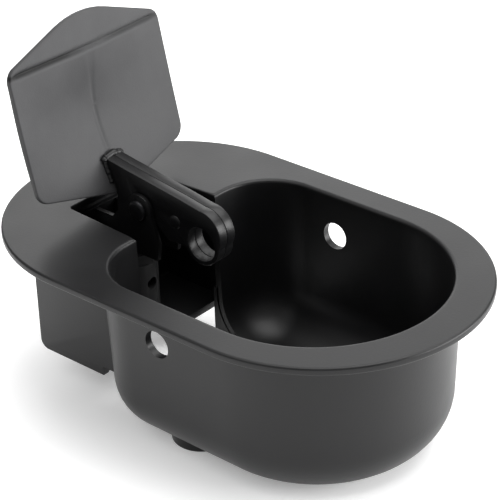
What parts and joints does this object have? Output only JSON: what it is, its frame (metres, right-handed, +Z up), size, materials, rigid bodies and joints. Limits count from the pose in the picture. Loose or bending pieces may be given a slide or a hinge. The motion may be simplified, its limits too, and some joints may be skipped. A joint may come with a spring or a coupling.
{
  "type": "livestock water trough",
  "caption": "Flange-hung drinking bowl with a nose plate on a pivoted lever that opens a push valve in a casing behind the bowl.",
  "frame": {"origin": "middle of the flange's outline, on the flange's underside, where the bowl rests in its frame", "axes": "+X towards the bowl's round front, +Y to the left of an animal's view from the rear, +Z up; the XZ plane is the plane of symmetry"},
  "size_m": [0.323, 0.2, 0.2247],
  "materials": {
    "satin_black": "satin black stoved coating on cast and plate metal",
    "black_steel": "blackened steel",
    "black_nylon": "matt moulded nylon",
    "rubber": "matt",
    "zinc_steel": "zinc plated"
  },
  "bodies": {
    "bowl": {"bowl_shell": "satin_black", "rear_casing": "satin_black", "foot_left": "satin_black", "foot_right": "satin_black", "pivot_pin": "black_steel", "pin_circlip": "black_steel", "pivot_bracket": "satin_black", "bracket_screws": "zinc_steel", "bracket_washers": "zinc_steel", "bracket_nuts": "zinc_steel", "valve_housing": "black_nylon", "valve_cap": "black_nylon", "cap_seal": "rubber", "valve_seat": "black_steel", "inlet_filter": "zinc_steel", "inlet_gasket": "rubber", "lock_nut": "zinc_steel"},
    "lever": {"nose_plate": "satin_black", "arm_left": "satin_black", "arm_right": "satin_black", "arm_weld": "satin_black", "lever_rivet": "satin_black", "pivot_bush": "black_nylon"},
    "stem": {"valve_stem": "black_steel", "stem_button": "black_nylon", "poppet_seal": "rubber", "poppet_spring": "zinc_steel"}
  },
  "joints": [
    {"name": "lever_pivot", "type": "hinge", "parent": "bowl", "child": "lever", "pos_m": [-0.074, 0, 0.007], "axis": [0, -1, 0], "range_deg": [0, 10], "stiffness_Nm_per_rad": 1, "springref_deg": -20.05},
    {"name": "valve_slide", "type": "slide", "parent": "bowl", "child": "stem", "axis": [0, 0, -1], "range_m": [0, 0.003], "deforming": ["poppet_spring"]}
  ],
  "couplings": [
    {"joint": "valve_slide", "follows": "lever_pivot", "m_per_rad": 0.016}
  ]
}
